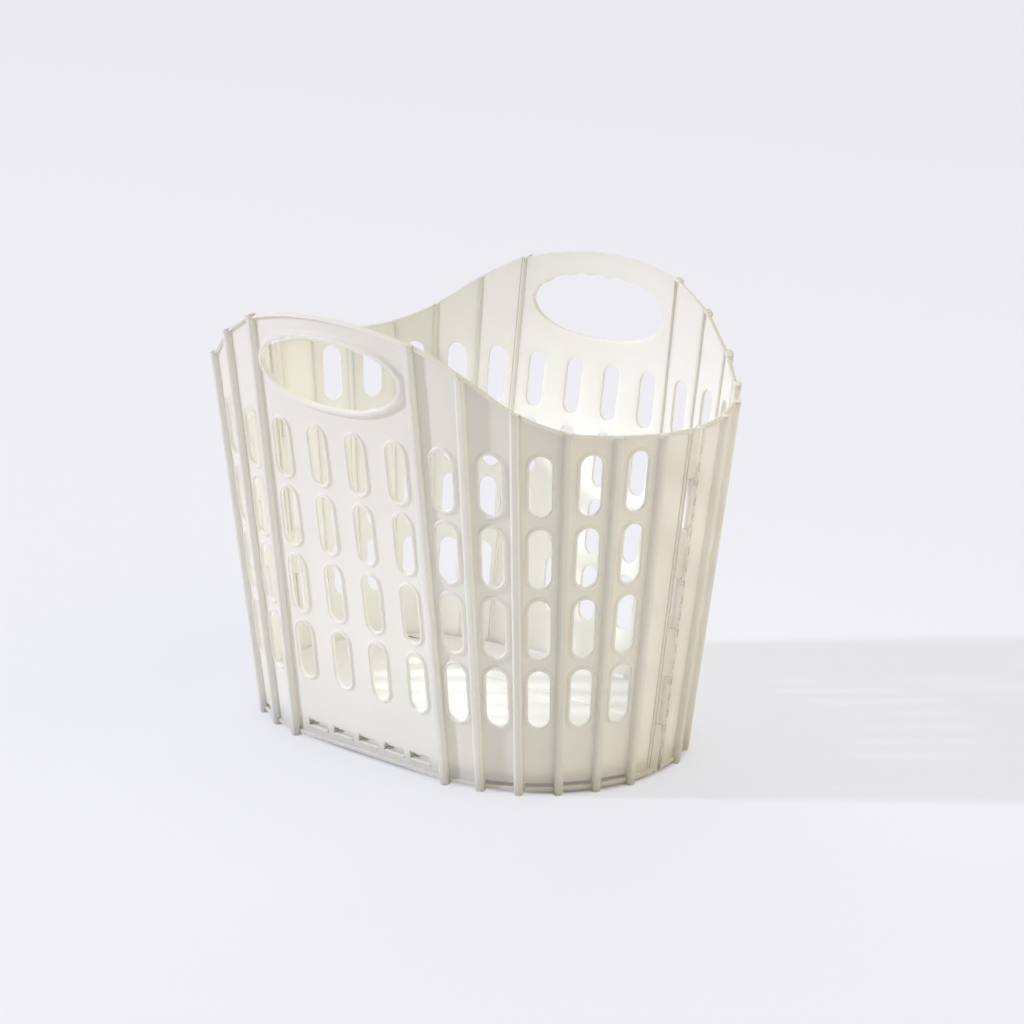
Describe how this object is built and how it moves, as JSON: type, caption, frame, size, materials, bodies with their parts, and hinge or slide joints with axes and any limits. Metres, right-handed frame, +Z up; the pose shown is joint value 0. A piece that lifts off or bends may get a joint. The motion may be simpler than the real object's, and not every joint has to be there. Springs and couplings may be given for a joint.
{
  "type": "folding laundry hamper",
  "caption": "Oval slotted plastic laundry hamper with two hand holes, whose ribbed wall unbends and folds flat over a lifting floor panel.",
  "frame": {"origin": "on the ground under the middle of the hamper's bounding box", "axes": "+Z up, +X from the middle towards the right side seam, -Y from the middle towards the front handle panel"},
  "size_m": [0.5404, 0.4312, 0.441],
  "materials": {
    "wall_plastic": "ivory polypropylene, satin, slightly translucent",
    "floor_plastic": "off-white polypropylene, satin"
  },
  "bodies": {
    "front_handle": {"front_handle_panel": "wall_plastic", "front_right_rib_1": "wall_plastic", "front_left_rib_1": "wall_plastic"},
    "front_right_near": {"front_right_stave_1": "wall_plastic", "front_right_rib_2": "wall_plastic", "front_right_stave_2": "wall_plastic", "front_right_rib_3": "wall_plastic"},
    "front_right_middle": {"front_right_stave_3": "wall_plastic", "front_right_rib_4": "wall_plastic", "front_right_stave_4": "wall_plastic", "front_right_rib_5": "wall_plastic"},
    "front_right_end": {"front_right_stave_5": "wall_plastic", "front_right_rib_6": "wall_plastic", "front_right_end_stave": "wall_plastic"},
    "front_left_near": {"front_left_stave_1": "wall_plastic", "front_left_rib_2": "wall_plastic", "front_left_stave_2": "wall_plastic", "front_left_rib_3": "wall_plastic"},
    "front_left_middle": {"front_left_stave_3": "wall_plastic", "front_left_rib_4": "wall_plastic", "front_left_stave_4": "wall_plastic", "front_left_rib_5": "wall_plastic"},
    "front_left_end": {"front_left_stave_5": "wall_plastic", "front_left_rib_6": "wall_plastic", "front_left_end_stave": "wall_plastic"},
    "back_right_near": {"back_right_stave_1": "wall_plastic", "back_right_rib_2": "wall_plastic", "back_right_stave_2": "wall_plastic", "back_right_rib_3": "wall_plastic"},
    "back_right_middle": {"back_right_stave_3": "wall_plastic", "back_right_rib_4": "wall_plastic", "back_right_stave_4": "wall_plastic", "back_right_rib_5": "wall_plastic"},
    "back_right_end": {"back_right_stave_5": "wall_plastic", "back_right_rib_6": "wall_plastic", "back_right_end_stave": "wall_plastic"},
    "back_left_near": {"back_left_stave_1": "wall_plastic", "back_left_rib_2": "wall_plastic", "back_left_stave_2": "wall_plastic", "back_left_rib_3": "wall_plastic"},
    "back_left_middle": {"back_left_stave_3": "wall_plastic", "back_left_rib_4": "wall_plastic", "back_left_stave_4": "wall_plastic", "back_left_rib_5": "wall_plastic"},
    "back_left_end": {"back_left_stave_5": "wall_plastic", "back_left_rib_6": "wall_plastic", "back_left_end_stave": "wall_plastic"},
    "back_handle": {"back_handle_panel": "wall_plastic", "back_right_rib_1": "wall_plastic", "back_left_rib_1": "wall_plastic"},
    "floor_front": {"floor_front_leaf": "floor_plastic"},
    "floor_back": {"floor_back_leaf": "floor_plastic"}
  },
  "joints": [
    {"name": "right_seam", "type": "hinge", "parent": "front_right_end", "child": "back_right_end", "pos_m": [0.25011, 0, 0.2], "axis": [0.112, 0, 0.9937], "range_deg": [0, 141.32]},
    {"name": "front_right_fold_1", "type": "hinge", "parent": "front_handle", "child": "front_right_near", "pos_m": [0.10123, -0.17116, 0.2], "axis": [0, -0.1239, 0.9923], "range_deg": [-18.68, 0]},
    {"name": "front_right_fold_3", "type": "hinge", "parent": "front_right_near", "child": "front_right_middle", "pos_m": [0.17887, -0.14036, 0.2], "axis": [0.0567, -0.1034, 0.993], "range_deg": [-27.25, 0]},
    {"name": "front_right_fold_5", "type": "hinge", "parent": "front_right_middle", "child": "front_right_end", "pos_m": [0.23206, -0.07596, 0.2], "axis": [0.0962, -0.058, 0.9937], "range_deg": [-24.26, 0]},
    {"name": "back_right_fold_5", "type": "hinge", "parent": "back_right_end", "child": "back_right_middle", "pos_m": [0.23206, 0.07596, 0.2], "axis": [0.0962, 0.058, 0.9937], "range_deg": [-24.26, 0]},
    {"name": "back_right_fold_3", "type": "hinge", "parent": "back_right_middle", "child": "back_right_near", "pos_m": [0.17887, 0.14036, 0.2], "axis": [0.0567, 0.1034, 0.993], "range_deg": [-27.25, 0]},
    {"name": "back_right_fold_1", "type": "hinge", "parent": "back_right_near", "child": "back_handle", "pos_m": [0.10123, 0.17116, 0.2], "axis": [0, 0.1239, 0.9923], "range_deg": [-18.68, 0]},
    {"name": "back_left_fold_1", "type": "hinge", "parent": "back_handle", "child": "back_left_near", "pos_m": [-0.10123, 0.17116, 0.2], "axis": [0, 0.1239, 0.9923], "range_deg": [-18.68, 0]},
    {"name": "back_left_fold_3", "type": "hinge", "parent": "back_left_near", "child": "back_left_middle", "pos_m": [-0.17887, 0.14036, 0.2], "axis": [-0.0567, 0.1034, 0.993], "range_deg": [-27.25, 0]},
    {"name": "back_left_fold_5", "type": "hinge", "parent": "back_left_middle", "child": "back_left_end", "pos_m": [-0.23206, 0.07596, 0.2], "axis": [-0.0962, 0.058, 0.9937], "range_deg": [-24.26, 0]},
    {"name": "front_left_fold_1", "type": "hinge", "parent": "front_handle", "child": "front_left_near", "pos_m": [-0.10123, -0.17116, 0.2], "axis": [0, -0.1239, 0.9923], "range_deg": [0, 18.68]},
    {"name": "front_left_fold_3", "type": "hinge", "parent": "front_left_near", "child": "front_left_middle", "pos_m": [-0.17887, -0.14036, 0.2], "axis": [-0.0567, -0.1034, 0.993], "range_deg": [0, 27.25]},
    {"name": "front_left_fold_5", "type": "hinge", "parent": "front_left_middle", "child": "front_left_end", "pos_m": [-0.23206, -0.07596, 0.2], "axis": [-0.0962, -0.058, 0.9937], "range_deg": [0, 24.26]},
    {"name": "floor_lift", "type": "hinge", "parent": "front_handle", "child": "floor_front", "pos_m": [0, -0.1467, 0.021], "axis": [1, 0, 0], "range_deg": [0, 91.02]},
    {"name": "floor_fold", "type": "hinge", "parent": "floor_front", "child": "floor_back", "pos_m": [0, 0.06, 0.0213], "axis": [1, 0, 0], "range_deg": [0, 176.02]}
  ],
  "couplings": [
    {"joint": "front_right_fold_1", "follows": "right_seam", "ratio": -0.13203},
    {"joint": "front_right_fold_3", "follows": "right_seam", "ratio": -0.19267},
    {"joint": "front_right_fold_5", "follows": "right_seam", "ratio": -0.17153},
    {"joint": "back_right_fold_5", "follows": "right_seam", "ratio": -0.17153},
    {"joint": "back_right_fold_3", "follows": "right_seam", "ratio": -0.19267},
    {"joint": "back_right_fold_1", "follows": "right_seam", "ratio": -0.13203},
    {"joint": "back_left_fold_1", "follows": "right_seam", "ratio": -0.13203},
    {"joint": "back_left_fold_3", "follows": "right_seam", "ratio": -0.19267},
    {"joint": "back_left_fold_5", "follows": "right_seam", "ratio": -0.17153},
    {"joint": "front_left_fold_1", "follows": "right_seam", "ratio": 0.13203},
    {"joint": "front_left_fold_3", "follows": "right_seam", "ratio": 0.19267},
    {"joint": "front_left_fold_5", "follows": "right_seam", "ratio": 0.17153},
    {"joint": "floor_lift", "follows": "right_seam", "ratio": 0.64392},
    {"joint": "floor_fold", "follows": "right_seam", "ratio": 1.2454}
  ]
}
